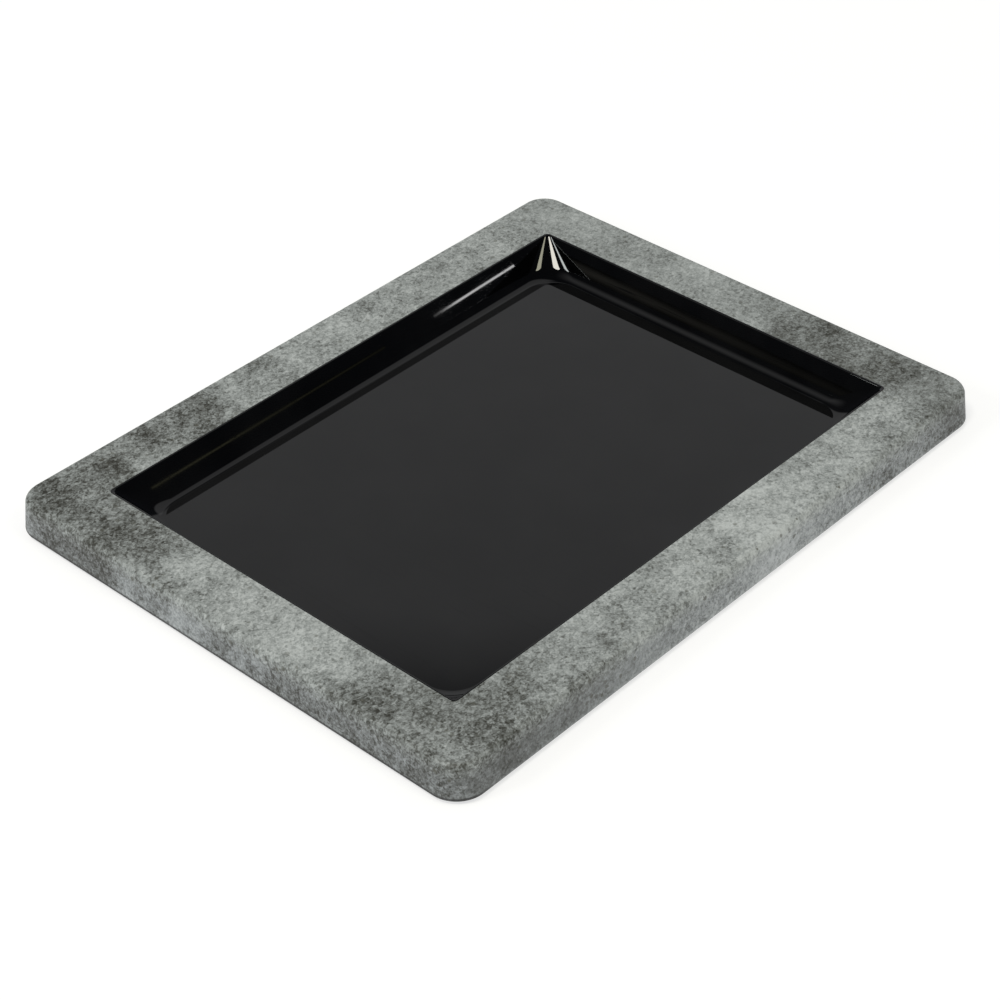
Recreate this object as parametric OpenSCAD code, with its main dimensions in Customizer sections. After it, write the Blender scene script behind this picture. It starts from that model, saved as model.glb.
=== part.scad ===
// Rectangular serving tray pressed in black melamine, lying on its pads.
// X runs along the tray, Y across it, and Z up from the table at zero.
// The moulding is one shell of even wall: a flat basin floor, leaning basin walls,
// a hollow rim and an outer skirt. A printed stone foil covers the rim and the skirt.
// Every surface is a rounded rectangle carried along the tray's cross-section.

/* [Tray] */
// Length over the widest part of the skirt
tray_l = 350; // [280:5:600]
// Width over the widest part of the skirt
tray_w = 270; // [200:5:450]
// Radius of the tray's corners in plan, at the foot of the skirt
tray_corner_r = 14.2; // [10:0.2:24]

/* [Basin] */
// Depth from the top of the rim to the basin floor
basin_depth = 14.8; // [10:0.2:30]
// Lean of the basin walls from upright, in degrees
wall_lean = 26; // [15:1:40]
// Thickness of the basin walls
wall_t = 2.8; // [2:0.1:4]
// Thickness of the basin floor
floor_t = 2.8; // [2:0.1:5]
// Radius of the fillet between the walls and the floor
floor_fillet_r = 7; // [2:0.5:8]
// Radius of the basin's corners in plan at the opening, where they are nearly square
opening_corner_r = 2.5; // [1:0.5:6]
// Radius of the basin's corners in plan at the floor, where they are round
floor_corner_r = 19; // [12:0.5:26]

/* [Rim] */
// Width of the rim in plan, from the opening to the widest part of the skirt
rim_w = 31; // [24:0.5:45]
// Thickness of the top of the rim
rim_t = 3; // [2:0.1:4.5]
// Radius of the edge between the rim and the skirt
rim_edge_r = 3.5; // [2:0.1:6]
// Radius of the lip where the rim turns down into the basin
lip_r = 1; // [0.5:0.1:1.6]
// Width of bare moulding between the foil and the lip's curve
lip_land = 0.4; // [0.2:0.1:1]
// Radius inside the hollow rim, under its two edges
hollow_r = 2.5; // [1:0.1:4]

/* [Skirt] */
// Thickness of the skirt
skirt_t = 3; // [2.6:0.1:4.5]
// Lean of the skirt from upright, outwards to its foot, in degrees
skirt_lean = 7; // [2:0.5:12]
// Height of the skirt's foot above the table
skirt_gap = 1.6; // [0.8:0.1:3]
// Radius of the outer edge of the skirt's foot
foot_edge_r = 1.2; // [0.8:0.1:1.4]

/* [Foil] */
// Thickness of the printed stone foil
foil_t = 0.4; // [0.2:0.05:0.6]
// Width of the foil's flat end under the skirt's foot
foil_land = 0.3; // [0.1:0.1:0.5]

/* [Underside] */
// Height of the foot ring under the basin floor
ring_h = 0.8; // [0.5:0.1:2]
// Width of the foot ring where it is lowest
ring_w = 3; // [1.5:0.1:6]
// Width of each sloping flank of the foot ring
ring_flank = 0.8; // [0.4:0.1:1.5]
// Distance from the basin wall to the foot ring's outer flank, under the floor
ring_inset = 7; // [6.5:0.5:20]
// Radius of the small edges on the foot ring and inside the skirt's foot
small_edge_r = 0.4; // [0.1:0.05:0.5]

/* [Pads] */
// Diameter of each anti-slip pad
pad_d = 10; // [6:0.5:16]
// How far the pads stand below the foot ring
pad_drop = 0.6; // [0.3:0.1:1.5]
// Depth of the round recess that each pad sits in
recess_depth = 0.5; // [0.2:0.1:1.2]
// Clearance round each pad in its recess
recess_clearance = 0.25; // [0.1:0.05:0.5]
// Distance from the foot ring to the edge of each recess
recess_margin = 3; // [1:0.5:10]
// Radius of the lower edge of each pad
pad_edge_r = 0.5; // [0.2:0.1:0.8]

/* [Hidden] */

// Steps in a quarter turn of each plan corner
corner_steps = 12;
// Most that a fillet's flats may stray from its true arc
arc_error = 0.03;
// Overrun of every cut past the face that it opens
overrun = 1;
// Facets round a pad and its recess
round_fn = 64;

// Heights above the table
ring_z = pad_drop;
under_z = ring_z + ring_h;
floor_z = under_z + floor_t;
tray_h = floor_z + basin_depth;
rim_under_z = tray_h - rim_t;

// Places across the rim are distances out from the opening's edge, inwards being negative
lip_reach = lip_r * tan((90 - wall_lean) / 2);
foot_corner_out = rim_w + foot_edge_r * (tan(skirt_lean) + 1 / cos(skirt_lean) - 1);
foot_reach = foot_edge_r / tan((90 - skirt_lean) / 2);
foil_end_out = foot_corner_out - foot_reach - foil_land;
opening_l = tray_l - 2 * rim_w;
opening_w = tray_w - 2 * rim_w;

// Place of the basin wall at a height, moved out by a depth into the moulding
function wall_out(z, depth) =
  depth / cos(wall_lean) - lip_land - lip_reach - (tray_h - z) * tan(wall_lean);

// Place of the skirt's outer face at a height, moved in by a depth into the moulding
function skirt_out(z, depth) =
  foot_corner_out - (z - skirt_gap) * tan(skirt_lean) - depth / cos(skirt_lean);

under_corner_out = wall_out(under_z, wall_t);
ring_out = under_corner_out - ring_inset;
ring_in = ring_out - ring_w - 2 * ring_flank;
recess_r = pad_d / 2 + recess_clearance;
pad_out = ring_in - recess_margin - recess_r;
hollow_mid_out = (wall_out(rim_under_z, wall_t) + skirt_out(rim_under_z, skirt_t)) / 2;

// Plan corner radius of the basin at a height: nearly square above, round below
function basin_corner_r(z) =
  opening_corner_r
  + (floor_corner_r - opening_corner_r) * min(1, (tray_h - z) / basin_depth);

// Plan corner radius at a place on the basin side, a depth out into the moulding
function basin_side_r(p, depth) =
  basin_corner_r(p.y) + depth / cos(wall_lean) - max(0, wall_out(p.y, depth) - p.x);

// Plan corner radius at a place on the skirt side, parallel to the skirt's foot
function skirt_side_r(p) = max(opening_corner_r, tray_corner_r - rim_w + p.x);

function flat(p) = [p.x, p.y];
function unit(v) = v / norm(v);
function turned(v, a) = [v.x * cos(a) - v.y * sin(a), v.x * sin(a) + v.y * cos(a)];
function backwards(list) = [for (i = [len(list) - 1:-1:0]) list[i]];

// One corner of a section, [out, z, radius], as an arc tangent to both of its legs
function rounded_corner(a, b, c) =
  let (
    back = unit(flat(a) - flat(b)),
    ahead = unit(flat(c) - flat(b)),
    half = acos(back * ahead) / 2,
    centre = flat(b) + unit(back + ahead) * b[2] / sin(half),
    spoke = flat(b) + back * b[2] / tan(half) - centre,
    sweep = (180 - 2 * half) * sign(cross(-back, ahead)),
    steps = max(2, ceil(abs(sweep) / (2 * acos(1 - min(arc_error / b[2], 1 / 2)))))
  )
  [for (i = [0:steps]) centre + turned(spoke, sweep * i / steps)];

// An open section with its inner corners rounded and its two ends kept
function rounded_section(path) =
  let (last = len(path) - 1)
  [
    flat(path[0]),
    for (i = [1:last - 1], p = rounded_corner(path[i - 1], path[i], path[i + 1])) p,
    flat(path[last])
  ];

// The outside of rim and skirt, a depth below the printed face, from the lip to the foot
function outside_section(depth) =
  [
    for (p = rounded_section([
      [0, tray_h - depth, 0],
      [skirt_out(tray_h - depth, depth), tray_h - depth, rim_edge_r - depth],
      [skirt_out(skirt_gap + depth, depth), skirt_gap + depth, foot_edge_r - depth],
      [foil_end_out, skirt_gap + depth, 0]
    ]))
    [p.x, p.y, skirt_side_r(p)]
  ];

// From under the floor, over the foot ring and up the back of the basin wall
function under_section() =
  [
    for (p = rounded_section([
      [ring_in - recess_margin / 2, under_z, 0],
      [ring_in, under_z, small_edge_r],
      [ring_in + ring_flank, ring_z, small_edge_r],
      [ring_out - ring_flank, ring_z, small_edge_r],
      [ring_out, under_z, small_edge_r],
      [under_corner_out, under_z, floor_fillet_r + wall_t],
      [wall_out(rim_under_z, wall_t), rim_under_z, hollow_r],
      [hollow_mid_out, rim_under_z, 0]
    ]))
    [p.x, p.y, basin_side_r(p, wall_t)]
  ];

// From inside the hollow rim, down the back of the skirt to the foil's end
function skirt_back_section() =
  let (
    section = rounded_section([
      [hollow_mid_out, rim_under_z, 0],
      [skirt_out(rim_under_z, skirt_t), rim_under_z, hollow_r],
      [skirt_out(skirt_gap, skirt_t), skirt_gap, small_edge_r],
      [foil_end_out, skirt_gap, 0]
    ])
  )
  [for (i = [1:len(section) - 1]) [section[i].x, section[i].y, skirt_side_r(section[i])]];

// From the foil's edge over the lip, down the basin wall and onto the floor
function basin_section() =
  [
    for (p = rounded_section([
      [0, tray_h, 0],
      [wall_out(tray_h, 0), tray_h, lip_r],
      [wall_out(floor_z, 0), floor_z, floor_fillet_r],
      [ring_in, floor_z, 0]
    ]))
    [p.x, p.y, basin_side_r(p, 0)]
  ];

// A rounded rectangle at one station, [out, z, plan radius], anticlockwise from above
function plan_ring(s) =
  [
    for (quarter = [0:3], i = [0:corner_steps])
    let (
      a = 90 * (quarter + i / corner_steps),
      side_x = quarter == 0 || quarter == 3 ? 1 : -1,
      side_y = quarter < 2 ? 1 : -1
    )
    [
      side_x * (opening_l / 2 + s.x - s[2]) + s[2] * cos(a),
      side_y * (opening_w / 2 + s.x - s[2]) + s[2] * sin(a),
      s.y
    ]
  ];

// The skin through a list of stations, closed by flat ends or joined into a loop
module plan_loft(stations, loop = false) {
  count = len(stations);
  around = 4 * (corner_steps + 1);
  sides = [
    for (k = [0:loop ? count - 1 : count - 2], i = [0:around - 1])
    let (
      ahead = (k + 1) % count,
      beside = (i + 1) % around
    )
    [k * around + i, ahead * around + i, ahead * around + beside, k * around + beside]
  ];
  ends = loop ? [] : [
    [for (i = [0:around - 1]) i],
    [for (i = [around - 1:-1:0]) (count - 1) * around + i]
  ];
  polyhedron(
    points = [for (s = stations, p = plan_ring(s)) p],
    faces = concat(sides, ends),
    convexity = 6
  );
}

module at_pad(side_x, side_y) {
  translate([side_x * (opening_l / 2 + pad_out), side_y * (opening_w / 2 + pad_out), 0])
    children();
}

module moulded_body() {
  color("#161618")
    difference() {
      plan_loft(concat(
        under_section(),
        skirt_back_section(),
        backwards(outside_section(foil_t)),
        basin_section()
      ));
      for (side_x = [-1, 1], side_y = [-1, 1])
        at_pad(side_x, side_y)
          translate([0, 0, under_z - overrun])
            cylinder(h = overrun + recess_depth, r = recess_r, $fn = round_fn);
    }
}

module stone_foil() {
  color("#8b908d")
    plan_loft(concat(backwards(outside_section(0)), outside_section(foil_t)), loop = true);
}

// A flat silicone disc whose lower edge is rounded
module pad(side_x, side_y) {
  thickness = under_z + recess_depth;
  color("#2b2c2e")
    at_pad(side_x, side_y)
      rotate_extrude($fn = round_fn)
        union() {
          square([pad_d / 2 - pad_edge_r, thickness]);
          translate([0, pad_edge_r])
            square([pad_d / 2, thickness - pad_edge_r]);
          translate([pad_d / 2 - pad_edge_r, pad_edge_r])
            circle(r = pad_edge_r, $fn = round_fn);
        }
}

moulded_body();
stone_foil();
pad(-1, -1);  // pad_front_left
pad(1, -1);  // pad_front_right
pad(-1, 1);  // pad_back_left
pad(1, 1);  // pad_back_right
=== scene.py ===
# %% [markdown]
# # A melamine serving tray with a stone-look rim
# The tray is one pressed shell of glossy black melamine. A printed foil, fused over the
# rim and the skirt in the press, makes these look like grey stone. Four small silicone
# pads keep it from sliding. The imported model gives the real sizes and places, and this
# script gives every piece its true curves and its finish. All lengths are in metres.

import math

import bpy
import numpy as np
from mathutils import Matrix, Vector
from mathutils.geometry import delaunay_2d_cdt


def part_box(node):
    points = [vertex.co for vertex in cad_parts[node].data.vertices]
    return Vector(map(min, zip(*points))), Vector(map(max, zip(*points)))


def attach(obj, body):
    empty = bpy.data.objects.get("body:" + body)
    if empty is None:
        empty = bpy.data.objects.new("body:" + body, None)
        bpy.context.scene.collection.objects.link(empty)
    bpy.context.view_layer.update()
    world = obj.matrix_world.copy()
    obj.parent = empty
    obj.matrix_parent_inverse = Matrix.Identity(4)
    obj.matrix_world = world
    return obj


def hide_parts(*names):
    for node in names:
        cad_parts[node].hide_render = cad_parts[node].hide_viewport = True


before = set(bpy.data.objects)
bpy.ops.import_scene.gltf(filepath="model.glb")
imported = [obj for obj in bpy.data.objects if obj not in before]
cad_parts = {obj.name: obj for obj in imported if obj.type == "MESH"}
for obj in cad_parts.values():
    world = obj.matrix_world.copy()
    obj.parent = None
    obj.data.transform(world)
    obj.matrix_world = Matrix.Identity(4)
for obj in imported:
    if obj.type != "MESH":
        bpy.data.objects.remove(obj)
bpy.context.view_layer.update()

# %% [markdown]
# ## The camera
# The tray is seen from in front of its left end, a good metre away. A camera could be
# aimed with a constraint, but here its three axes are worked out from plain angles: the
# direction that it looks along, how far it looks down, and a slight roll. The focal
# length and the place were fitted to the outline of the tray, so that the proportions
# in the frame are the real ones.

# %% Camera
camera_place = Vector((-0.6621, -0.6170, 0.6718))
camera_azimuth = math.radians(46.80)
camera_elevation = math.radians(37.22)
camera_roll = math.radians(-1.10)
# Blender's cameras take these two in millimetres
sensor_width = 36.0
focal_length = 89.8


def add_object(name, data):
    """An object that shows the data, linked into the scene."""
    made = bpy.data.objects.new(name, data)
    bpy.context.scene.collection.objects.link(made)
    return made


def camera_axes(azimuth, elevation, roll):
    """Right, up and back axes of a camera.

    It looks along an azimuth, measured from +Y towards +X, and down by an elevation.
    Level right and up axes are then turned about the view by the roll.
    """
    ahead = Vector((
        math.sin(azimuth) * math.cos(elevation),
        math.cos(azimuth) * math.cos(elevation),
        -math.sin(elevation),
    ))
    level_right = Vector((math.cos(azimuth), -math.sin(azimuth), 0))
    level_up = level_right.cross(ahead)
    right = level_right * math.cos(roll) + level_up * math.sin(roll)
    return right, right.cross(ahead), -ahead


camera_data = bpy.data.cameras.new("camera")
camera_data.sensor_width = sensor_width
camera_data.lens = focal_length
camera = add_object("camera", camera_data)
turned = Matrix(camera_axes(camera_azimuth, camera_elevation, camera_roll)).transposed()
camera.matrix_world = Matrix.Translation(camera_place) @ turned.to_4x4()
bpy.context.scene.camera = camera
print("camera is", round(camera_place.length, 3), "m from the middle of the footprint")

# %% [markdown]
# ## Sizes
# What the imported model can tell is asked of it: how long, wide and high the foil is,
# where the pads are, and how low the foot ring reaches. What lies inside those boxes,
# such as the lean of a wall or the radius of a fillet, is named here.

# %% Sizes of the moulding and the foil
foil_low, foil_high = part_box("stone_foil")
tray_l = foil_high.x - foil_low.x
tray_w = foil_high.y - foil_low.y
tray_h = foil_high.z
skirt_gap = foil_low.z
ring_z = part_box("moulded_body")[0].z

tray_corner_r = 0.0142
basin_depth = 0.0148
wall_lean = math.radians(26)
wall_t = 0.0028
floor_t = 0.0028
floor_fillet_r = 0.007
opening_corner_r = 0.0025
floor_corner_r = 0.019
rim_w = 0.031
rim_t = 0.003
rim_edge_r = 0.0035
lip_r = 0.001
lip_land = 0.0004
hollow_r = 0.0025
skirt_t = 0.003
skirt_lean = math.radians(7)
foot_edge_r = 0.0012
foil_t = 0.0004
foil_land = 0.0003
ring_w = 0.003
ring_flank = 0.0008
ring_inset = 0.007
small_edge_r = 0.0004

# Radius of the edges where the foil ends against the moulding
seam_edge_r = 0.00008

floor_z = tray_h - basin_depth
under_z = floor_z - floor_t
rim_under_z = tray_h - rim_t
opening_l = tray_l - 2 * rim_w
opening_w = tray_w - 2 * rim_w
lip_reach = lip_r * math.tan((math.pi / 2 - wall_lean) / 2)
foot_corner_out = rim_w + foot_edge_r * (
    math.tan(skirt_lean) + 1 / math.cos(skirt_lean) - 1
)
foot_reach = foot_edge_r / math.tan((math.pi / 2 - skirt_lean) / 2)
foil_end_out = foot_corner_out - foot_reach - foil_land
print("opening is", round(opening_l, 4), "by", round(opening_w, 4), "m")

# %% [markdown]
# ## Sections with true fillets
# A pressed part has no sharp edges: each corner of its section is an arc that touches
# both of its legs. A Bevel modifier could round the corners of a rough mesh, but it
# would not know the two different lofts that meet here. So the section is drawn first,
# as corners with radii, and each corner is turned into its arc. The slope of the line is
# kept at each point, because the exact shading normals come from it later.


# %% Arcs in the corners of a section
def rounded_section(corners, arc_steps=12):
    """Points and unit slopes along a line whose inner corners are arcs.

    A corner is (out, up, radius). With half the angle between its legs called h, the
    arc's centre lies on the bisector, radius / sin(h) from the corner, and it touches
    each leg radius / tan(h) away. The slope is the spoke of the arc turned a quarter.
    """
    path = np.array(corners, float)
    legs = np.diff(path[:, :2], axis=0)
    legs /= np.linalg.norm(legs, axis=1)[:, None]
    points = [path[:1, :2]]
    slopes = [legs[:1]]
    for corner, before, after in zip(path[1:-1], legs[:-1], legs[1:]):
        bend = math.atan2(before[0] * after[1] - before[1] * after[0], before @ after)
        side = math.copysign(1, bend)
        normal = side * np.array([-before[1], before[0]])
        start = corner[:2] - before * corner[2] * math.tan(abs(bend) / 2)
        centre = start + normal * corner[2]
        angle = np.linspace(0, abs(bend), arc_steps + 1)[:, None]
        spoke = before * np.sin(angle) - normal * np.cos(angle)
        points.append(centre + corner[2] * spoke)
        slopes.append(before * np.cos(angle) + normal * np.sin(angle))
    points.append(path[-1:, :2])
    slopes.append(legs[-1:])
    return np.concatenate(points), np.concatenate(slopes)


# %% [markdown]
# ## Rounded rectangles carried along the section
# Every surface of the tray is a rounded rectangle that grows and shrinks as it follows
# the section. The skirt keeps parallel to its foot. The basin is bolder: its corners are
# nearly square at the lip and round at the floor, so each wall corner is a cone, and
# that cone gathers the lamps into the bright streaks of the far corner.

# %% Plan radius at each point of a section
# Lengths under this are rounding errors
hair = 1e-9


def wall_out(up, depth):
    """Place of the basin wall at a height, a depth into the moulding, outwards being +."""
    edge = -lip_land - lip_reach
    return depth / math.cos(wall_lean) + edge - (tray_h - up) * math.tan(wall_lean)


def skirt_out(up, depth):
    """Place of the skirt's outer face at a height, a depth into the moulding."""
    lean = (up - skirt_gap) * math.tan(skirt_lean)
    return foot_corner_out - lean - depth / math.cos(skirt_lean)


def basin_stations(corners, depth):
    """Section points with plan radii that blend from the lip's to the floor's.

    The radius grows in step with the depth down the wall, and inside the fillet it also
    shrinks by as much as the point lies inside the wall's line.
    """
    points, slopes = rounded_section(corners)
    out, up = points.T
    slope_out, slope_up = slopes.T
    growth = (floor_corner_r - opening_corner_r) / basin_depth
    above = up > floor_z
    inside = wall_out(up, depth) - out
    cut_in = inside > hair
    radius = opening_corner_r + growth * np.minimum(tray_h - up, basin_depth)
    radius += depth / math.cos(wall_lean) - np.where(cut_in, inside, 0)
    radius_slope = -growth * slope_up * above
    radius_slope -= np.where(cut_in, math.tan(wall_lean) * slope_up - slope_out, 0)
    return np.column_stack([out, up, radius, slope_out, slope_up, radius_slope])


def skirt_stations(corners):
    """Section points with plan radii parallel to the skirt's foot."""
    points, slopes = rounded_section(corners)
    out, up = points.T
    slope_out, slope_up = slopes.T
    parallel = tray_corner_r - rim_w + out
    radius = np.maximum(opening_corner_r, parallel)
    radius_slope = slope_out * (parallel > opening_corner_r)
    return np.column_stack([out, up, radius, slope_out, slope_up, radius_slope])


# %% Surface through a list of stations
corner_steps = 32


def plan_surface(stations):
    """Points and true normals of the surface, as arrays of station by angle.

    A point is the centre of the plan corner plus the radius times (cos a, sin a). The
    normal is the cross product of the slope round the plan and the slope along the
    section, which comes to (u cos a, u sin a, -((o - r)(|cos a| + |sin a|) + r)), where
    o, u and r are how fast the place, the height and the plan radius change.
    """
    quarter = np.linspace(0, math.pi / 2, corner_steps + 1)
    angle = np.concatenate([quarter + k * math.pi / 2 for k in range(4)])
    side_x = np.repeat([1, -1, -1, 1], corner_steps + 1)
    side_y = np.repeat([1, 1, -1, -1], corner_steps + 1)
    out, up, radius, o, u, r = (column[:, None] for column in stations.T)
    points = np.stack([
        side_x * (opening_l / 2 + out - radius) + radius * np.cos(angle),
        side_y * (opening_w / 2 + out - radius) + radius * np.sin(angle),
        up + 0 * angle,
    ], -1)
    spread = np.abs(np.cos(angle)) + np.abs(np.sin(angle))
    normals = np.stack([
        u * np.cos(angle),
        u * np.sin(angle),
        -((o - r) * spread + r),
    ], -1)
    normals /= np.linalg.norm(normals, axis=-1, keepdims=True)
    return points, normals


# %% Rings of vertices joined by quads
def number_rings(points, first=0):
    """Vertex numbers of a grid of points, one row for each ring, counted from the first."""
    rings, sides = points.shape[:2]
    return first + np.arange(rings * sides).reshape(rings, sides)


def join_rings(rings):
    """Quads between each ring of vertex numbers and the next, all the way round."""
    here, there = rings[:-1], rings[1:]
    beside = np.roll(here, -1, axis=1), np.roll(there, -1, axis=1)
    return np.stack([here, beside[0], beside[1], there], -1).reshape(-1, 4)


# %% [markdown]
# ## From arrays to a mesh
# The arrays go into the mesh in one call each. The normals are handed over as well:
# averaged ones would bend the reflections in the long flat walls, and polished black
# shows the smallest fault.


# %% Mesh from points, faces and normals
def make_piece(name, points, faces, normals, finishes, finish_of_face=None):
    """A mesh object with smooth faces, exact normals and a finish for each face.

    Points and normals are arrays of any shape whose last axis is X, Y and Z.
    """
    points = points.reshape(-1, 3)
    mesh = bpy.data.meshes.new(name)
    mesh.from_pydata(points.tolist(), [], faces)
    mesh.validate()
    for finish in finishes:
        mesh.materials.append(finish)
    if finish_of_face is not None:
        mesh.polygons.foreach_set("material_index", finish_of_face)
    mesh.shade_smooth()
    mesh.normals_split_custom_set_from_vertices(normals.reshape(-1, 3))
    triangles = sum(len(face) - 2 for face in faces)
    print(name, "has", len(points), "points and", triangles, "triangles")
    return add_object(name, mesh)


# %% [markdown]
# ## Building materials out of nodes
# A few helpers keep the materials readable. The first adds a node and fills its inputs,
# linking those that are given another node's output. Those after it stand for the nodes
# that are used most, and give back the output that matters.


# %% Helpers for single nodes
def add_node(tree, kind, inputs, **settings):
    """Adds a node. An input given a socket is linked to it, any other value is set."""
    made = tree.nodes.new(kind)
    for name, value in settings.items():
        setattr(made, name, value)
    for name, value in inputs.items():
        if isinstance(value, bpy.types.NodeSocket):
            tree.links.new(value, made.inputs[name])
        else:
            made.inputs[name].default_value = value
    return made


def calculate(tree, operation, *values):
    """A Math node's result."""
    inputs = dict(enumerate(values))
    return add_node(tree, "ShaderNodeMath", inputs, operation=operation).outputs[0]


def calculate_vector(tree, operation, *values):
    """A Vector Math node's result, a number if the operation gives one."""
    inputs = dict(enumerate(values))
    made = add_node(tree, "ShaderNodeVectorMath", inputs, operation=operation)
    return made.outputs["Value" if operation in ("LENGTH", "DOT_PRODUCT") else "Vector"]


def remap(tree, value, low, high, to_low=0.0, to_high=1.0):
    """A smooth step of value between low and high, as a number from to_low to to_high."""
    inputs = {
        "Value": value,
        "From Min": low,
        "From Max": high,
        "To Min": to_low,
        "To Max": to_high,
    }
    settings = {"interpolation_type": "SMOOTHSTEP"}
    return add_node(tree, "ShaderNodeMapRange", inputs, **settings).outputs["Result"]


def blend_colours(tree, mask, first, second, blend_type="MIX"):
    """First where the mask is 0. Where it is 1, second, or its product with first."""
    inputs = {0: mask, 6: first, 7: second}
    settings = {"data_type": "RGBA", "blend_type": blend_type}
    return add_node(tree, "ShaderNodeMix", inputs, **settings).outputs[2]


def noise(tree, place, scale, detail, roughness=0.5):
    """A Noise Texture's factor."""
    inputs = {"Vector": place, "Scale": scale, "Detail": detail, "Roughness": roughness}
    return add_node(tree, "ShaderNodeTexNoise", inputs).outputs[0]


def cell_pattern(tree, place, scale):
    """Distance from the middle of the nearest cell, and that cell's three random numbers."""
    cells = add_node(tree, "ShaderNodeTexVoronoi", {"Vector": place, "Scale": scale})
    chances = add_node(tree, "ShaderNodeSeparateColor", {"Color": cells.outputs["Color"]})
    return cells.outputs["Distance"], *chances.outputs


def split_place(tree, place):
    """The X, Y and Z of a place."""
    return add_node(tree, "ShaderNodeSeparateXYZ", {0: place}).outputs


# %% [markdown]
# An effect that several finishes share is a node group: it is built once, and each
# material places it with values of its own. A material starts with its principled shader
# and the place of a point on the object, and ends by filling that shader.


# %% Helpers for groups and materials
def start_group(name, vectors, numbers):
    """A shader group, the sockets inside it that give its inputs, and its mask's socket."""
    group = bpy.data.node_groups.new(name, "ShaderNodeTree")
    for kind, labels in (("NodeSocketVector", vectors), ("NodeSocketFloat", numbers)):
        for label in labels:
            group.interface.new_socket(label, in_out="INPUT", socket_type=kind)
    group.interface.new_socket("Mask", in_out="OUTPUT", socket_type="NodeSocketFloat")
    given = group.nodes.new("NodeGroupInput").outputs
    return group, given, group.nodes.new("NodeGroupOutput").inputs["Mask"]


def use_group(tree, group, **inputs):
    """The mask of a group that is placed in a material with its own values."""
    return add_node(tree, "ShaderNodeGroup", inputs, node_tree=group).outputs[0]


def start_material(name):
    """A material's tree, its principled shader and the place of a point on the object."""
    material = bpy.data.materials.new(name)
    material.use_nodes = True
    tree = material.node_tree
    shader = tree.nodes["Principled BSDF"]
    place = tree.nodes.new("ShaderNodeTexCoord").outputs["Object"]
    return material, tree, shader, place


def fill_shader(tree, shader, colour, rough, relief, strength, depth):
    """Feeds a principled shader its colour, its roughness and a bump of the relief."""
    inputs = {"Height": relief, "Strength": strength, "Distance": depth}
    bump = add_node(tree, "ShaderNodeBump", inputs)
    tree.links.new(colour, shader.inputs["Base Color"])
    tree.links.new(rough, shader.inputs["Roughness"])
    tree.links.new(bump.outputs["Normal"], shader.inputs["Normal"])


# %% [markdown]
# ## Effects that several finishes share
# Handling leaves hairline scuffs, and every real surface holds a little dust. Hairlines
# are noise stretched more than fifty times in one direction and cut off near its top, in
# three turned layers. Dust is one small dot in some of the cells of a cell pattern. A
# painted image could do the same, but would blur close up and need unwrapping.

# %% Hairline scuffs
scuff_turns = (17.0, 74.0, 128.0)
scuff_squeeze = (1.0, 0.018, 1.0)


def build_hairlines():
    """Mask of fine scratches: thin ridges of stretched noise, broken up into patches."""
    group, given, result = start_group("hairline_scuffs", ["Place"], ["Fineness"])
    mask = 0.0
    for turn in scuff_turns:
        mapping = {
            "Vector": given["Place"],
            "Rotation": (0.0, 0.0, math.radians(turn)),
            "Scale": scuff_squeeze,
        }
        turned_place = add_node(group, "ShaderNodeMapping", mapping).outputs[0]
        lines = noise(group, turned_place, given["Fineness"], detail=0.0)
        where = noise(group, turned_place, 55.0, detail=1.0)
        ridge = remap(group, lines, 0.66, 0.76)
        patch = remap(group, where, 0.50, 0.64)
        layer = calculate(group, "MULTIPLY", ridge, patch)
        mask = calculate(group, "MAXIMUM", layer, mask)
    group.links.new(mask, result)
    return group


hairlines = build_hairlines()
print("effect made:", hairlines.name)


# %% Dust
def build_dust():
    """Mask of small specks: a dot in each chosen cell, its size set by the cell."""
    group, given, result = start_group("settled_dust", ["Place"], ["Cells", "Share"])
    distance, chance, size, _ = cell_pattern(group, given["Place"], given["Cells"])
    chosen = calculate(group, "LESS_THAN", chance, given["Share"])
    reach = remap(group, size, 0.0, 1.0, 0.02, 0.06)
    dot = remap(group, calculate(group, "DIVIDE", distance, reach), 0.6, 1.0, 1.0, 0.0)
    group.links.new(calculate(group, "MULTIPLY", dot, chosen), result)
    return group


dust = build_dust()
print("effect made:", dust.name)

# %% [markdown]
# ## Polished black melamine
# Moulded melamine is hard, dense and takes the mirror polish of its mould. Seen close,
# the black is nearly all reflection, so the colour is almost nothing and the roughness
# does the work: low, a little higher in the scuffs and high on the dust. The waves of
# the pressing are a few thousandths of a millimetre high and only bend the highlights.


# %% Polished black
def build_polished_black():
    """Black with sharp reflections, faint hairlines, sparse dust and soft waves."""
    material, tree, shader, place = start_material("polished_black_melamine")
    scuffs = use_group(tree, hairlines, Place=place, Fineness=2200.0)
    specks = use_group(tree, dust, Place=place, Cells=90.0, Share=0.03)
    smear = noise(tree, place, 22.0, detail=3.0, roughness=0.6)
    polish = remap(tree, smear, 0.35, 0.7, 0.010, 0.022)
    rough = calculate(tree, "MULTIPLY_ADD", scuffs, 0.10, polish)
    rough = calculate(tree, "MAXIMUM", rough, calculate(tree, "MULTIPLY", specks, 0.7))
    black = (0.0006, 0.0006, 0.0006, 1.0)
    haze = (0.0028, 0.0028, 0.0028, 1.0)
    grey_dust = (0.07, 0.068, 0.062, 1.0)
    colour = blend_colours(tree, remap(tree, smear, 0.3, 0.75), black, haze)
    colour = blend_colours(tree, specks, colour, grey_dust)
    waves = noise(tree, place, 14.0, detail=2.0, roughness=0.35)
    fill_shader(tree, shader, colour, rough, waves, strength=0.5, depth=0.00001)
    shader.inputs["IOR"].default_value = 1.5
    return material


polished_black = build_polished_black()
print("finish made:", polished_black.name)

# %% [markdown]
# ## Satin black of the underside
# The lower half of the mould is only blasted, so the underside is black with a fine
# even grain. It rubs on shelves and on the trays stacked below, which leaves grey marks
# where it stands proud, along the foot ring.

# %% Satin black
# Height of the rubbed zone above the lowest line of the foot ring
rub_reach = 0.0005


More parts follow.
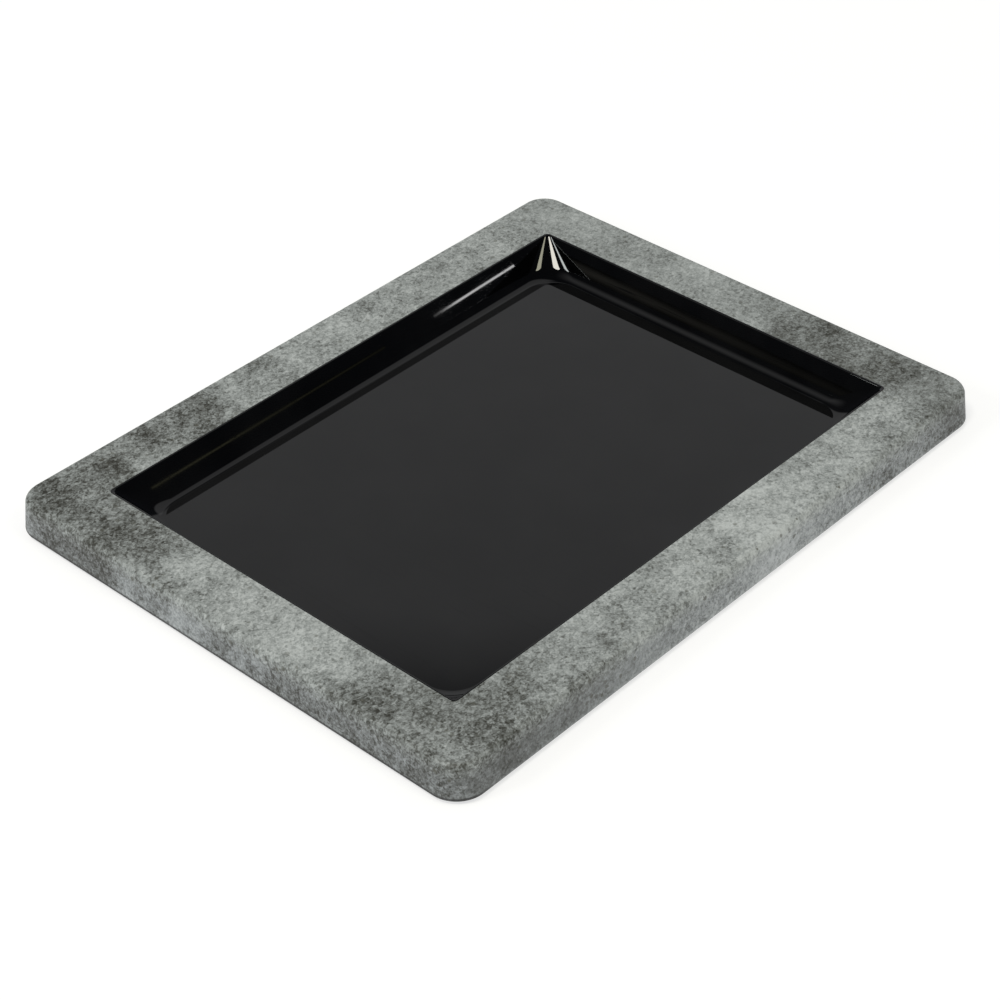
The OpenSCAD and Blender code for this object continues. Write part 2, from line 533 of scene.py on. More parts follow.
def build_satin_black():
    """Black with fine blasted grain, and rubbed lighter where the underside is lowest."""
    material, tree, shader, place = start_material("satin_black_underside")
    height = split_place(tree, place)["Z"]
    grain = noise(tree, place, 2600.0, detail=1.0)
    blotches = noise(tree, place, 45.0, detail=4.0, roughness=0.6)
    scuffs = use_group(tree, hairlines, Place=place, Fineness=1500.0)
    specks = use_group(tree, dust, Place=place, Cells=160.0, Share=0.08)
    lowest = remap(tree, height, ring_z, ring_z + rub_reach, 1.0, 0.0)
    rubbed = calculate(tree, "MULTIPLY", lowest, remap(tree, blotches, 0.42, 0.6))
    marks = calculate(tree, "MULTIPLY", scuffs, 0.55)
    worn = calculate(tree, "MAXIMUM", calculate(tree, "MULTIPLY", rubbed, 0.8), marks)
    black = (0.0085, 0.0085, 0.0092, 1.0)
    cloudy = (0.0150, 0.0148, 0.0148, 1.0)
    rubbed_grey = (0.055, 0.054, 0.052, 1.0)
    grey_dust = (0.10, 0.097, 0.09, 1.0)
    colour = blend_colours(tree, remap(tree, blotches, 0.35, 0.7), black, cloudy)
    colour = blend_colours(tree, worn, colour, rubbed_grey)
    colour = blend_colours(tree, specks, colour, grey_dust)
    satin = remap(tree, blotches, 0.3, 0.7, 0.34, 0.46)
    rough = calculate(tree, "MULTIPLY_ADD", worn, 0.2, satin)
    fill_shader(tree, shader, colour, rough, grain, strength=0.5, depth=0.00002)
    return material


satin_black = build_satin_black()
print("finish made:", satin_black.name)

# %% [markdown]
# ## The stone print
# The foil is printed with grey stone: paler greenish clouds, darker and browner ones,
# and over all of it grain of many sizes, from a centimetre down to under a millimetre.
# All of this is added up into one number, the tone, and a ramp of seven printed greys
# turns the tone into a colour, with olive specks on top. The clouds are soft ellipses
# whose edges a noise pushes in and out, set where they suit a plain slab.
# Everything reads the place on the object, so the print runs over the edges without a
# seam.


# %% One cloud of the stone
def build_cloud():
    """Mask of an ellipse: 1 within, falling to 0 over the softness of its edge."""
    vectors = ["Place", "Middle", "Reach"]
    group, given, result = start_group("stone_cloud", vectors, ["Softness"])
    away = calculate_vector(group, "SUBTRACT", given["Place"], given["Middle"])
    in_reaches = calculate_vector(group, "DIVIDE", away, given["Reach"])
    distance = calculate_vector(group, "LENGTH", in_reaches)
    inner = calculate(group, "SUBTRACT", 1.0, given["Softness"])
    outer = calculate(group, "ADD", 1.0, given["Softness"])
    group.links.new(remap(group, distance, inner, outer, 1.0, 0.0), result)
    return group


stone_cloud = build_cloud()
print("effect made:", stone_cloud.name)

# %% Where the clouds lie
# Each cloud is its middle along X and Y, its reach along X and Y, softness and tone
clouds = [
    ((-0.152, 0.090), (0.030, 0.040), 0.20, -0.33),
    ((-0.150, 0.122), (0.046, 0.018), 0.50, -0.22),
    ((-0.088, 0.122), (0.022, 0.026), 0.45, -0.36),
    ((-0.038, 0.120), (0.022, 0.022), 0.60, -0.13),
    ((0.045, 0.118), (0.022, 0.016), 0.60, -0.08),
    ((-0.160, -0.118), (0.042, 0.042), 0.50, -0.26),
    ((-0.089, -0.118), (0.014, 0.026), 0.50, -0.12),
    ((-0.120, -0.142), (0.045, 0.012), 0.40, -0.12),
    ((0.160, -0.068), (0.034, 0.036), 0.40, -0.30),
    ((0.160, -0.046), (0.024, 0.012), 0.40, -0.16),
    ((0.158, -0.108), (0.020, 0.030), 0.60, -0.12),
    ((0.135, -0.134), (0.050, 0.016), 0.60, -0.12),
    ((-0.180, -0.070), (0.012, 0.060), 0.50, -0.20),
    ((-0.182, 0.010), (0.011, 0.050), 0.50, -0.20),
    ((-0.160, 0.006), (0.024, 0.042), 0.30, 0.07),
    ((0.036, -0.118), (0.022, 0.026), 0.50, 0.28),
    ((0.010, -0.140), (0.060, 0.010), 0.50, 0.10),
    ((0.090, -0.115), (0.018, 0.020), 0.50, 0.12),
    ((0.014, 0.118), (0.014, 0.016), 0.60, 0.10),
    ((0.158, 0.030), (0.016, 0.012), 0.60, 0.08),
]
print("clouds on the stone:", len(clouds))

# %% Clouds added into the tone
# How much each direction counts for the clouds, and how far a noise pushes their edges
cloud_squash = (1.0, 1.0, 0.4)
cloud_push = (0.034, 0.034, 0.0)


def add_share(tree, total, mask, weight, middle=0.0):
    """The total plus the weight times how far the mask is over its middle."""
    share = calculate(tree, "MULTIPLY", calculate(tree, "SUBTRACT", mask, middle), weight)
    return calculate(tree, "ADD", total, share)


def add_clouds(tree, place):
    """A slow noise, plus the weight of each cloud where its mask is 1.

    The masks read the place pushed sideways by the push times a noise colour less a half.
    """
    plan = calculate_vector(tree, "MULTIPLY", place, cloud_squash)
    push = noise(tree, plan, 60.0, detail=4.0, roughness=0.65).node.outputs["Color"]
    pushed = calculate_vector(tree, "SUBTRACT", push, (0.5, 0.5, 0.5))
    pushed = calculate_vector(tree, "MULTIPLY_ADD", pushed, cloud_push, plan)
    tone = remap(tree, noise(tree, plan, 30.0, detail=2.0), 0.3, 0.7, 0.61, 0.83)
    for (x, y), (reach_x, reach_y), softness, weight in clouds:
        inputs = {
            "Place": pushed,
            "Middle": (x, y, 0.0),
            "Reach": (reach_x, reach_y, 1.0),
            "Softness": softness,
        }
        tone = add_share(tree, tone, use_group(tree, stone_cloud, **inputs), weight)
    return tone


# %% [markdown]
# A print is never the same all over. On this one the grain is calmer down the skirt by
# the near corner and towards the right end. Down the skirt the grey is also painted a
# little darker and bluer, as painted shade. Along the foot it is painted paler, as painted
# light, except at the left end, where a dark line of painted shade runs along the foot.

# %% Where the print and its painted light and shade change
# Heights between which the skirt begins, round the edge of the rim, and the tone of the
# painted shade down the skirt
edge_top = tray_h - 0.0015
drawn_from = tray_h - 0.0085
skirt_shade_tone = -0.05
# Heights between which the painted shade along the foot of the left end begins, and how dark
# it gets
foot_shade_top = skirt_gap + 0.0022
foot_shade_full = skirt_gap + 0.0016
foot_shade_share = 0.85
# Heights between which the painted light along the foot begins, and its tone
foot_light_top = skirt_gap + 0.0030
foot_light_full = skirt_gap + 0.0006
foot_light_tone = 0.25
# Places along X between which the left end passes into the rest
left_end_edge = (-0.166, -0.150)
# Each of these is two places along X, and how calm the grain is at the one and the other
calm_left = (-0.173, -0.160, 0.15, 0.45)
calm_front = (-0.08, -0.02, 1.0, 0.0)
calm_right = (0.13, 0.15, 0.0, 0.22)


def grain_share(tree, along, skirt):
    """How much of the grain shows: 1, less what the calm stretches take away."""
    calm, front, right = (
        remap(tree, along, *stretch) for stretch in (calm_left, calm_front, calm_right)
    )
    calm = calculate(tree, "MULTIPLY", calm, front)
    calm = calculate(tree, "MULTIPLY", calm, skirt)
    return calculate(tree, "SUBTRACT", 1.0, calculate(tree, "MAXIMUM", calm, right))


# %% Printed greys and olive specks
# Tones of the print and their greys, from the darkest to the palest
stone_greys = [
    (0.0, (0.030, 0.030, 0.023, 1.0)),
    (0.2, (0.081, 0.084, 0.077, 1.0)),
    (0.4, (0.154, 0.164, 0.159, 1.0)),
    (0.6, (0.242, 0.258, 0.255, 1.0)),
    (0.8, (0.318, 0.339, 0.336, 1.0)),
    (1.0, (0.408, 0.430, 0.427, 1.0)),
    (1.3, (0.497, 0.523, 0.519, 1.0)),
]


def pick_colour(tree, value, stops):
    """The colour at a value between stops, each a value and a colour, the last highest."""
    ramp = tree.nodes.new("ShaderNodeValToRGB")
    elements = ramp.color_ramp.elements
    for _ in stops[2:]:
        elements.new(0.5)
    for element, (at, colour) in zip(elements, stops):
        element.position = at / stops[-1][0]
        element.color = colour
    share = calculate(tree, "DIVIDE", value, stops[-1][0])
    tree.links.new(share, ramp.inputs[0])
    return ramp.outputs[0]


def add_olive_specks(tree, place, colour):
    """A dot in one cell out of seven, each with a size and a strength of its own."""
    distance, chance, size, strength = cell_pattern(tree, place, 330.0)
    reach = remap(tree, size, 0.0, 1.0, 0.10, 0.40)
    dot = remap(tree, calculate(tree, "DIVIDE", distance, reach), 1.2, 0.7)
    chosen = calculate(tree, "GREATER_THAN", chance, 0.86)
    seen = calculate(tree, "MULTIPLY", chosen, remap(tree, strength, 0.0, 1.0, 0.3, 0.8))
    olive = (0.078, 0.077, 0.058, 1.0)
    return blend_colours(tree, calculate(tree, "MULTIPLY", dot, seen), colour, olive)


# %% Stone print
def build_stone_print():
    """Clouds, mottling and grain added into one tone, and its printed grey, with painted
    shade down the skirt and painted light and shade along the foot.
    """
    material, tree, shader, place = start_material("stone_print")
    along, _, height = split_place(tree, place)
    skirt = remap(tree, height, drawn_from, edge_top, 1.0, 0.0)
    past_left_end = remap(tree, along, *left_end_edge)
    # Painted light: the foot is painted paler, except at the left end
    foot_light = remap(tree, height, foot_light_top, foot_light_full, 0.0, foot_light_tone)
    foot_light = calculate(tree, "MULTIPLY", foot_light, past_left_end)
    # Painted shade: the tone down the skirt is a little darker
    base_tone = add_share(tree, add_clouds(tree, place), skirt, skirt_shade_tone)
    base_tone = calculate(tree, "ADD", base_tone, foot_light)

    mottle = noise(tree, place, 70.0, detail=1.0)
    grain = noise(tree, place, 300.0, detail=2.0, roughness=1.0)
    granule = cell_pattern(tree, place, 640.0)[1]
    small_granule = cell_pattern(tree, place, 1300.0)[1]
    layers = [(mottle, 0.50), (grain, 0.95), (granule, 0.35), (small_granule, 0.38)]
    speckle = 0.0
    for layer, weight in layers:
        speckle = add_share(tree, speckle, layer, weight, middle=0.5)
    showing = grain_share(tree, along, skirt)
    tone = calculate(tree, "MULTIPLY_ADD", speckle, showing, base_tone)

    colour = add_olive_specks(tree, place, pick_colour(tree, tone, stone_greys))
    # Painted shade: the skirt is tinted a little bluer
    skirt_shade_blue = (0.955, 0.955, 1.0, 1.0)
    colour = blend_colours(tree, skirt, colour, skirt_shade_blue, "MULTIPLY")
    # Painted shade: a dark line is painted along the foot of the left end
    foot_shade_black = (0.020, 0.020, 0.020, 1.0)
    at_left_end = calculate(tree, "SUBTRACT", 1.0, past_left_end)
    foot_shade = calculate(tree, "MULTIPLY", at_left_end, foot_shade_share)
    foot_shade = calculate(tree, "MULTIPLY", remap(tree, height, foot_shade_top, foot_shade_full), foot_shade)
    colour = blend_colours(tree, foot_shade, colour, foot_shade_black)
    rough = remap(tree, small_granule, 0.0, 1.0, 0.60, 0.48)
    relief = calculate(tree, "MULTIPLY_ADD", granule, 0.4, grain)
    fill_shader(tree, shader, colour, rough, relief, strength=0.35, depth=0.00022)
    return material


stone_print = build_stone_print()
print("finish made:", stone_print.name)

# %% [markdown]
# ## Silicone pads
# The pads are soft dark silicone. It is matt, slightly greyer where it has been pressed,
# and it holds more dust than the hard shell does.


# %% Silicone
def build_silicone():
    """Matt dark grey with faint clouds, fine grain and clinging dust."""
    material, tree, shader, place = start_material("pad_silicone")
    pressed = noise(tree, place, 420.0, detail=3.0)
    specks = use_group(tree, dust, Place=place, Cells=900.0, Share=0.14)
    dark_grey = (0.026, 0.026, 0.028, 1.0)
    pressed_grey = (0.045, 0.045, 0.046, 1.0)
    grey_dust = (0.14, 0.136, 0.128, 1.0)
    pressed_mask = remap(tree, pressed, 0.4, 0.65)
    colour = blend_colours(tree, pressed_mask, dark_grey, pressed_grey)
    colour = blend_colours(tree, specks, colour, grey_dust)
    rough = remap(tree, pressed, 0.3, 0.7, 0.62, 0.78)
    grain = noise(tree, place, 5200.0, detail=1.0)
    fill_shader(tree, shader, colour, rough, grain, strength=0.4, depth=0.00001)
    return material


pad_silicone = build_silicone()
print("finish made:", pad_silicone.name)

# %% [markdown]
# ## The stone foil
# The foil is a thin skin with an inside and an outside: over the rim, round its edge,
# down the skirt and a little way under the foot. A Solidify modifier on one sheet would
# do, but the moulding has to fit under it exactly. So both faces are drawn in one closed
# section, and its two ends are rounded by less than a tenth of a millimetre.

# %% Foil
foil_section = [
    (rim_w / 2, tray_h, 0),
    (0, tray_h, seam_edge_r),
    (0, tray_h - foil_t, seam_edge_r),
    (skirt_out(tray_h - foil_t, foil_t), tray_h - foil_t, rim_edge_r - foil_t),
    (skirt_out(skirt_gap + foil_t, foil_t), skirt_gap + foil_t, foot_edge_r - foil_t),
    (foil_end_out, skirt_gap + foil_t, seam_edge_r),
    (foil_end_out, skirt_gap, seam_edge_r),
    (skirt_out(skirt_gap, 0), skirt_gap, foot_edge_r),
    (skirt_out(tray_h, 0), tray_h, rim_edge_r),
    (rim_w / 2, tray_h, 0),
]


def build_foil():
    """The closed skin: its last station is its first, so the rings join into a loop."""
    points, normals = plan_surface(skirt_stations(foil_section)[:-1])
    rings = number_rings(points)
    faces = join_rings(np.concatenate([rings, rings[:1]])).tolist()
    return make_piece("stone_print_foil", points, faces, normals, [stone_print])


foil = build_foil()
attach(foil, "root")
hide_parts("stone_foil")

# %% [markdown]
# ## The moulding
# The shell's section starts under the floor, runs out over the foot ring, up the back of
# the wall, through the hollow under the rim and down the back of the skirt. It comes
# back over the top under the foil, drops into the basin and ends on the floor. Two flat
# faces close it. The lower one has the four recesses of the pads in it, so it is
# triangulated round them, and each recess is a small turned shape.

# %% Sections of the moulding
recess_margin = 0.003
ring_out = wall_out(under_z, wall_t) - ring_inset
ring_in = ring_out - ring_w - 2 * ring_flank
hollow_mid_out = (wall_out(rim_under_z, wall_t) + skirt_out(rim_under_z, skirt_t)) / 2

under_section = [
    (ring_in - recess_margin / 2, under_z, 0),
    (ring_in, under_z, small_edge_r),
    (ring_in + ring_flank, ring_z, small_edge_r),
    (ring_out - ring_flank, ring_z, small_edge_r),
    (ring_out, under_z, small_edge_r),
    (wall_out(under_z, wall_t), under_z, floor_fillet_r + wall_t),
    (wall_out(rim_under_z, wall_t), rim_under_z, hollow_r),
    (hollow_mid_out, rim_under_z, 0),
]
skirt_back_section = [
    (hollow_mid_out, rim_under_z, 0),
    (skirt_out(rim_under_z, skirt_t), rim_under_z, hollow_r),
    (skirt_out(skirt_gap, skirt_t), skirt_gap, small_edge_r),
    (foil_end_out, skirt_gap, seam_edge_r),
    (foil_end_out, skirt_gap + foil_t, seam_edge_r),
    (skirt_out(skirt_gap + foil_t, foil_t), skirt_gap + foil_t, foot_edge_r - foil_t),
    (skirt_out(tray_h - foil_t, foil_t), tray_h - foil_t, rim_edge_r - foil_t),
    (rim_w / 2, tray_h - foil_t, 0),
]
basin_section = [
    (rim_w / 2, tray_h - foil_t, 0),
    (0, tray_h - foil_t, seam_edge_r),
    (0, tray_h, seam_edge_r),
    (wall_out(tray_h, 0), tray_h, lip_r),
    (wall_out(floor_z, 0), floor_z, floor_fillet_r),
    (ring_in, floor_z, 0),
]
print("hollow under the rim is", round(rim_under_z - skirt_gap, 4), "m deep")

# %% Sizes of the pads and their recesses
pad_nodes = ["pad_front_left", "pad_front_right", "pad_back_left", "pad_back_right"]
pad_boxes = {node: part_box(node) for node in pad_nodes}
recess_clearance = 0.00025
recess_edge_r = 0.0001
recess_land = 0.0003
round_steps = 96


def pad_middle(node):
    """Middle of a pad's box in plan."""
    low, high = pad_boxes[node]
    return np.array([(low.x + high.x) / 2, (low.y + high.y) / 2])


def pad_radius(node):
    """Half the width of a pad's box."""
    low, high = pad_boxes[node]
    return (high.x - low.x) / 2


print("pads are", round(2 * pad_radius(pad_nodes[0]), 5), "m across")


# %% Turned shapes
def turned_surface(corners, middle):
    """Rings of points and normals of a profile turned about an upright line.

    The profile is a rounded section of (radius, height). A point is the middle plus the
    radius times (cos a, sin a), and the normal is (u cos a, u sin a, -o), where o and u
    are the slopes of the profile outwards and upwards.
    """
    profile, slopes = rounded_section(corners, arc_steps=6)
    angle = np.arange(round_steps) * 2 * math.pi / round_steps
    radius, height = (column[:, None] for column in profile.T)
    o, u = (column[:, None] for column in slopes.T)
    points = np.stack([
        middle[0] + radius * np.cos(angle),
        middle[1] + radius * np.sin(angle),
        height + 0 * angle,
    ], -1)
    normals = np.stack([u * np.cos(angle), u * np.sin(angle), -o + 0 * angle], -1)
    return points, normals


def recess_surface(node):
    """Points and normals of a pad's recess, from the underside in to its roof.

    The melamine lies outside this profile, so its normals are turned round.
    """
    radius = pad_radius(node) + recess_clearance
    roof_z = pad_boxes[node][1].z
    profile = [
        (radius + recess_land, under_z, 0),
        (radius, under_z, recess_edge_r),
        (radius, roof_z, recess_edge_r),
        (radius / 2, roof_z, 0),
    ]
    points, normals = turned_surface(profile, pad_middle(node))
    return points, -normals


# %% Flat face with holes
# What the triangulation keeps: the triangles inside the edges that it is given
inside_edges = 1
# Share of a hole's radius within which a triangle's middle lies if it fills the hole
hole_share = 0.999


def flat_with_holes(outline, holes):
    """Triangles of a level face inside its outline and outside its round holes.

    Outline and holes are arrays of (vertex number, x, y). Triangles whose middle lies in
    a hole are left out, and the rest are turned to face down.
    """
    loops = [outline, *holes]
    everything = np.concatenate(loops)
    starts = np.cumsum([0] + [len(loop) for loop in loops])
    edges = [
        (int(first + i), int(first + (i + 1) % len(loop)))
        for first, loop in zip(starts, loops)
        for i in range(len(loop))
    ]
    flat = [Vector(row[1:]) for row in everything]
    found = delaunay_2d_cdt(flat, edges, [], inside_edges, hair)
    faces, origins = found[2:4]
    source = np.array([origin[0] for origin in origins])
    corners = source[np.array(faces)]
    middles = everything[corners, 1:].mean(1)
    kept = np.ones(len(corners), bool)
    for hole in holes:
        centre = hole[:, 1:].mean(0)
        radius = np.linalg.norm(hole[0, 1:] - centre)
        kept &= np.linalg.norm(middles - centre, axis=1) > radius * hole_share
    corners = corners[kept]
    place = everything[corners, 1:]
    first, second = place[:, 1] - place[:, 0], place[:, 2] - place[:, 0]
    upward = first[:, 0] * second[:, 1] - first[:, 1] * second[:, 0] > 0
    corners[upward] = corners[upward][:, ::-1]
    return everything[corners, 0].astype(int)


# %% Moulding
# Numbers of the moulding's two finishes, in the order in which it lists them
polished, satin = 0, 1


def build_moulding():
    """The whole closed shell, with its polished and its satin side."""
    stations = np.concatenate([
        basin_stations(under_section, wall_t)[:-1],
        skirt_stations(skirt_back_section)[1:-1],
        basin_stations(basin_section, 0)[1:],
    ])
    under_count = len(rounded_section(under_section)[0]) - 1
    back_count = len(rounded_section(skirt_back_section)[0]) - 2
    points, normals = plan_surface(stations)
    rings = number_rings(points)
    below = np.arange(len(rings) - 1) < under_count + back_count
    finish = np.repeat(np.where(below, satin, polished), rings.shape[1]).tolist()
    all_points, all_normals = [points.reshape(-1, 3)], [normals.reshape(-1, 3)]
    faces = join_rings(rings).tolist()

    holes = []
    count = rings.size
    for node in pad_nodes:
        recess_points, recess_normals = recess_surface(node)
        numbers = number_rings(recess_points, count)
        count += numbers.size
        # The rings are joined from the roof down, which turns the faces round as well
        faces += join_rings(numbers[::-1]).tolist()
        faces.append(numbers[-1][::-1].tolist())
        all_points.append(recess_points.reshape(-1, 3))
        all_normals.append(recess_normals.reshape(-1, 3))
        holes.append(np.column_stack([numbers[0], recess_points[0, :, :2]]))

    outline = np.column_stack([rings[0], points[0, :, :2]])
    faces += flat_with_holes(outline, holes).tolist()
    finish += [satin] * (len(faces) - len(finish))
    faces.append(rings[-1].tolist())
    finish.append(polished)
    return make_piece(
        "tray_moulding",
        np.concatenate(all_points),
        faces,
        np.concatenate(all_normals),
        [polished_black, satin_black],
        finish,
    )


moulding = build_moulding()
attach(moulding, "root")
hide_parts("moulded_body")

# %% [markdown]
# ## The pads
# Each pad is a small flat disc that stands a little below the foot ring. It is turned
# like the recess it sits in, with a soft edge on the table side.

# %% Pads
pad_edge_r = 0.0005
pad_top_edge_r = 0.0001


def build_pad(node):
    """A disc from its flat foot, round its edge and up its side to its hidden top."""
    radius = pad_radius(node)
    low, high = pad_boxes[node]
    profile = [
        (radius / 2, low.z, 0),
        (radius, low.z, pad_edge_r),
        (radius, high.z, pad_top_edge_r),
        (radius / 2, high.z, 0),
    ]
    points, normals = turned_surface(profile, pad_middle(node))
    rings = number_rings(points)
    faces = join_rings(rings).tolist() + [rings[0][::-1].tolist(), rings[-1].tolist()]
    name = node.replace("pad", "silicone_pad")
    piece = make_piece(name, points, faces, normals, [pad_silicone])
    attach(piece, "root")
    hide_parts(node)


for pad_node in pad_nodes:
    build_pad(pad_node)

# %% [markdown]
# ## Floor
# The tray stands on a plain white sheet. Seen by the camera, in reflections and through
# glass the sheet adds a white glow of its own, so it stays white where the lamps fade,
# and the part of it that is lit still darkens in the tray's shadow.

# %% Helpers for the set
one_quad = [(0, 1, 2, 3)]


def start_set_piece(name, finish, points, faces):
    """A mesh, the tree of its finish, and the socket there that takes the surface."""
    mesh = bpy.data.meshes.new(name)
    mesh.from_pydata(points, [], faces)
    material = bpy.data.materials.new(finish)
    material.use_nodes = True
    mesh.materials.append(material)
    tree = material.node_tree
    tree.nodes.remove(tree.nodes["Principled BSDF"])
    return mesh, tree, tree.nodes["Material Output"].inputs["Surface"]


def diffuse(tree, grey):
    """A matt surface of a grey."""
    inputs = {"Color": (grey, grey, grey, 1.0)}
    return add_node(tree, "ShaderNodeBsdfDiffuse", inputs).outputs[0]


def glow(tree, strength, tint=(1.0, 1.0, 1.0, 1.0)):
    """A surface that gives light."""
    inputs = {"Color": tint, "Strength": strength}
    return add_node(tree, "ShaderNodeEmission", inputs).outputs[0]


def add_shaders(tree, first, second):
    """Both surfaces at once."""
    return add_node(tree, "ShaderNodeAddShader", {0: first, 1: second}).outputs[0]


def shown_directly(tree):
    """1 for what the camera sees, straight, in a reflection or through glass, else 0."""
    seen = add_node(tree, "ShaderNodeLightPath", {}).outputs
    shown = calculate(tree, "MAXIMUM", seen["Is Camera Ray"], seen["Is Glossy Ray"])
    return calculate(tree, "MAXIMUM", shown, seen["Is Transmission Ray"])


# %% White sheet
floor_reach = 12.0
sheet_white = 0.92
sheet_lit_share = 0.42
sheet_glow = 0.64


def build_floor():
    """A level square sheet through the height of zero."""
    half = floor_reach / 2
    corners = [(-half, -half, 0), (half, -half, 0), (half, half, 0), (-half, half, 0)]
    name = "white_sheet"
    mesh, tree, surface = start_set_piece(name, "white_paper", corners, one_quad)
    bright = add_shaders(tree, diffuse(tree, sheet_lit_share), glow(tree, sheet_glow))
    inputs = {0: shown_directly(tree), 1: diffuse(tree, sheet_white), 2: bright}
    tree.links.new(add_node(tree, "ShaderNodeMixShader", inputs).outputs[0], surface)
    add_object(name, mesh)


build_floor()
print("sheet is", floor_reach, "m across")

# %% [markdown]
# ## Light
# Matt stone shows how much light falls on it, and polished black shows the lamps
# themselves. So the set has both: an even glow from the room all round, and three soft
# lamps, one nearly overhead, one in front and one to the left. Round it stands the
# studio as a mirror sees it, dark, with three lit cards behind the tray. The floor of
# the basin reflects the lowest card, its fillets gather all three into soft lines, and
# its back walls reflect the dark, which makes them read as black.

# %% Room glow
room_glow = 0.455
world = bpy.data.worlds.new("studio_room")
bpy.context.scene.world = world
world.use_nodes = True
background = world.node_tree.nodes["Background"]
background.inputs["Color"].default_value = (0.97, 0.99, 1.0, 1.0)
white_to_see = shown_directly(world.node_tree)
room_strength = remap(world.node_tree, white_to_see, 0.0, 1.0, room_glow, 1.0)
world.node_tree.links.new(room_strength, background.inputs["Strength"])
print("room gives", room_glow, "and looks white")

# %% Three soft lamps
far_corner = Vector((opening_l / 2, opening_w / 2, tray_h))
lamp_distance = 4.8


def add_lamp(name, way, width, light, tint):
    """A round lamp, along a way from the far corner, its light being that of paper there.

    A lamp of power P lights facing paper at distance d to P / (pi d squared) over pi.
    """
    data = bpy.data.lights.new(name, "AREA")
    data.shape = "DISK"
    data.size = width
    data.energy = light * (math.pi * lamp_distance) ** 2
    data.color = tint
    lamp = add_object(name, data)
    lamp.location = far_corner + Vector(way).normalized() * lamp_distance
    lamp.rotation_euler = Vector(way).to_track_quat("Z", "Y").to_euler()
    lamp.visible_camera = False
    print(name, "gives", round(data.energy, 1), "W")


add_lamp("lamp_above", (-0.48, -0.09, 0.872), width=1.33, light=0.36, tint=(1.0, 0.965, 0.87))
add_lamp("lamp_front", (0.095, -0.61, 0.786), width=1.16, light=0.11, tint=(1.0, 0.98, 0.76))
add_lamp("lamp_left", (-0.78, 0.31, 0.545), width=1.20, light=0.185, tint=(0.95, 1.0, 0.98))


# %% Cards of the studio
def only_in_reflections(name, mesh):
    """Adds a stage piece kept out of the picture, the shadows and the soft light."""
    thing = add_object(name, mesh)
    thing.visible_camera = False
    thing.visible_diffuse = False
    thing.visible_transmission = False
    thing.visible_volume_scatter = False
    thing.visible_shadow = False
    # What only reflections see isn't worth sampling as a lamp
    mesh.materials[0].cycles.emission_sampling = "NONE"


studio_reach = 5.5
# Each card is its azimuth and elevation, the reach of its even part and of the fade
# round it, all in degrees, and how bright it is
cards = [
    (45, 19.5, 21, 4, 0.43),
    (73.5, 49.5, 14, 5, 0.415),
    (-19, 56.5, 0, 29, 0.385),
]


def card_glow(tree, place, azimuth, elevation, even, fade, light):
    """Light of one card: even near its middle, and a smooth step of the angle beyond."""
    azimuth, elevation = math.radians(azimuth), math.radians(elevation)
    middle = (
        math.cos(elevation) * math.sin(azimuth) / studio_reach,
        math.cos(elevation) * math.cos(azimuth) / studio_reach,
        math.sin(elevation) / studio_reach,
    )
    angle = calculate(tree, "ARCCOSINE", calculate_vector(tree, "DOT_PRODUCT", place, middle))
    return remap(tree, angle, math.radians(even + fade), math.radians(even), 0.0, light)


# %% Studio as the polish sees it
studio_dark = (0.031, 0.034, 0.043, 1.0)
studio_sides = 64
studio_rings = 24
# The studio curves up through this share of a quarter turn, and a flat face closes it
studio_top_share = 0.98
# Shares of the reach between which the cards dim to their low share of light
dim_from_share = 0.42
dim_to_share = 0.14
low_share = 0.7


def build_studio():
    """Half a sphere: the reach times (cos e cos a, cos e sin a, sin e)."""
    elevation = np.linspace(0, math.pi / 2 * studio_top_share, studio_rings)[:, None]
    azimuth = np.arange(studio_sides) * 2 * math.pi / studio_sides
    points = studio_reach * np.stack([
        np.cos(elevation) * np.cos(azimuth),
        np.cos(elevation) * np.sin(azimuth),
        np.sin(elevation) + 0 * azimuth,
    ], -1)
    rings = number_rings(points)
    faces = join_rings(rings).tolist() + [rings[-1].tolist()]
    name = "studio_surround"
    points = points.reshape(-1, 3).tolist()
    mesh, tree, surface = start_set_piece(name, name, points, faces)
    mesh.shade_smooth()

    place = tree.nodes.new("ShaderNodeTexCoord").outputs["Object"]
    light = 0.0
    for card in cards:
        light = calculate(tree, "ADD", card_glow(tree, place, *card), light)
    height = split_place(tree, place)["Z"]
    low, high = dim_to_share * studio_reach, dim_from_share * studio_reach
    light = calculate(tree, "MULTIPLY", light, remap(tree, height, low, high, low_share))
    shown = add_shaders(tree, glow(tree, light), glow(tree, 1.0, studio_dark))
    tree.links.new(shown, surface)
    only_in_reflections(name, mesh)


build_studio()
print("studio is", studio_reach, "m away, with", len(cards), "cards")

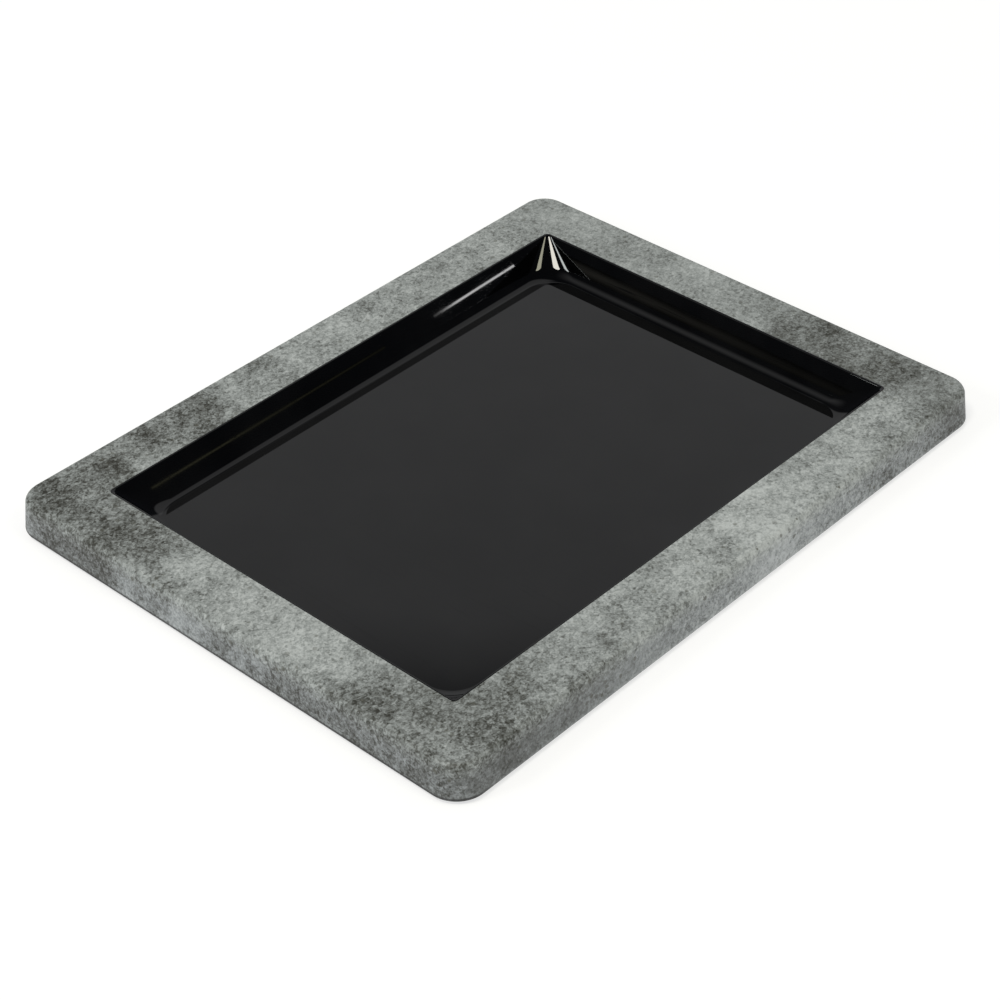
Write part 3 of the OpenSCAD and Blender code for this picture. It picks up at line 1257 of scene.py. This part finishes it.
# %% [markdown]
# Two thin gaps of light are mirrored in the long back wall as fine lines, and a dim edge
# shows in the short one. They are strips 3 to 14 millimetres thick, about a metre and a
# half away, and their light fades towards their long edges.


# %% Slits of light
def add_slit(name, ends, thickness, soft, lights, rise, tint):
    """A flat strip between two ends, turned to face the tray.

    Its light is a smooth step from the one end's to the other's, over the rise, times a
    smooth step of the distance to the nearer long edge.
    """
    first, second = (Vector(end) for end in ends)
    across = (second - first).cross(first).normalized() * thickness / 2
    corners = [first - across, second - across, second + across, first + across]
    corners = [tuple(corner) for corner in corners]
    mesh, tree, surface = start_set_piece(name, name, corners, one_quad)
    layer = mesh.uv_layers.new(name="along_and_across")
    layer.data.foreach_set("uv", [0, 0, 1, 0, 1, 1, 0, 1])

    place = tree.nodes.new("ShaderNodeTexCoord").outputs["UV"]
    along, up, _ = split_place(tree, place)
    to_edge = calculate(tree, "MINIMUM", up, calculate(tree, "SUBTRACT", 1.0, up))
    inside = remap(tree, to_edge, 0.0, soft / 2)
    light = calculate(tree, "MULTIPLY", remap(tree, along, 0.0, rise, *lights), inside)
    tree.links.new(glow(tree, light, (*tint, 1.0)), surface)
    only_in_reflections(name, mesh)
    print(name, "is", round((second - first).length, 3), "m long")


add_slit(
    "slit_right",
    ends=((0.9486, -1.0902, 0.2103), (1.0519, -1.0551, 0.2078)),
    thickness=0.0032,
    soft=0.5,
    lights=(1.0, 9.0),
    rise=0.35,
    tint=(1.0, 1.0, 1.0),
)
add_slit(
    "slit_left",
    ends=((0.602, -1.197, 0.2245), (0.887, -1.111, 0.2125)),
    thickness=0.0032,
    soft=0.8,
    lights=(0.46, 0.12),
    rise=1.0,
    tint=(1.0, 0.97, 0.62),
)
add_slit(
    "shelf_edge",
    ends=((-1.074, 0.930, 0.280), (-1.172, 0.575, 0.297)),
    thickness=0.0140,
    soft=1.0,
    lights=(0.24, 0.06),
    rise=1.0,
    tint=(1.0, 0.96, 0.84),
)

# %% [markdown]
# ## The view transform
# The colours are shown through the Standard view transform.

# %% Finish
bpy.context.scene.view_settings.view_transform = "Standard"
